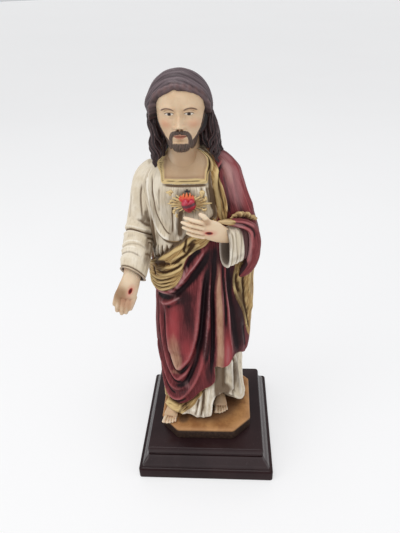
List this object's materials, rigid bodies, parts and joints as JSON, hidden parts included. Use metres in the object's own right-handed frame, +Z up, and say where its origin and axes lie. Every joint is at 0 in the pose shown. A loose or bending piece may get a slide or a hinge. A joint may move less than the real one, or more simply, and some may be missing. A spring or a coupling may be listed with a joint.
{
  "type": "sacred heart statue",
  "caption": "Painted cast-resin figure of a robed, bearded man with a heart on his chest, standing on a moulded square wooden plinth.",
  "frame": {"origin": "centre of the plinth's underside", "axes": "+Z up from the underside to the crown of the head, the figure faces -Y, +X is to the right of someone facing the figure"},
  "size_m": [0.0552, 0.054, 0.1514],
  "materials": {
    "painted_resin": "hand-painted, matt to satin, brown antique wash",
    "painted_wood": "satin dark brown paint"
  },
  "bodies": {
    "root": {"figure": "painted_resin", "plinth": "painted_wood"}
  },
  "joints": []
}
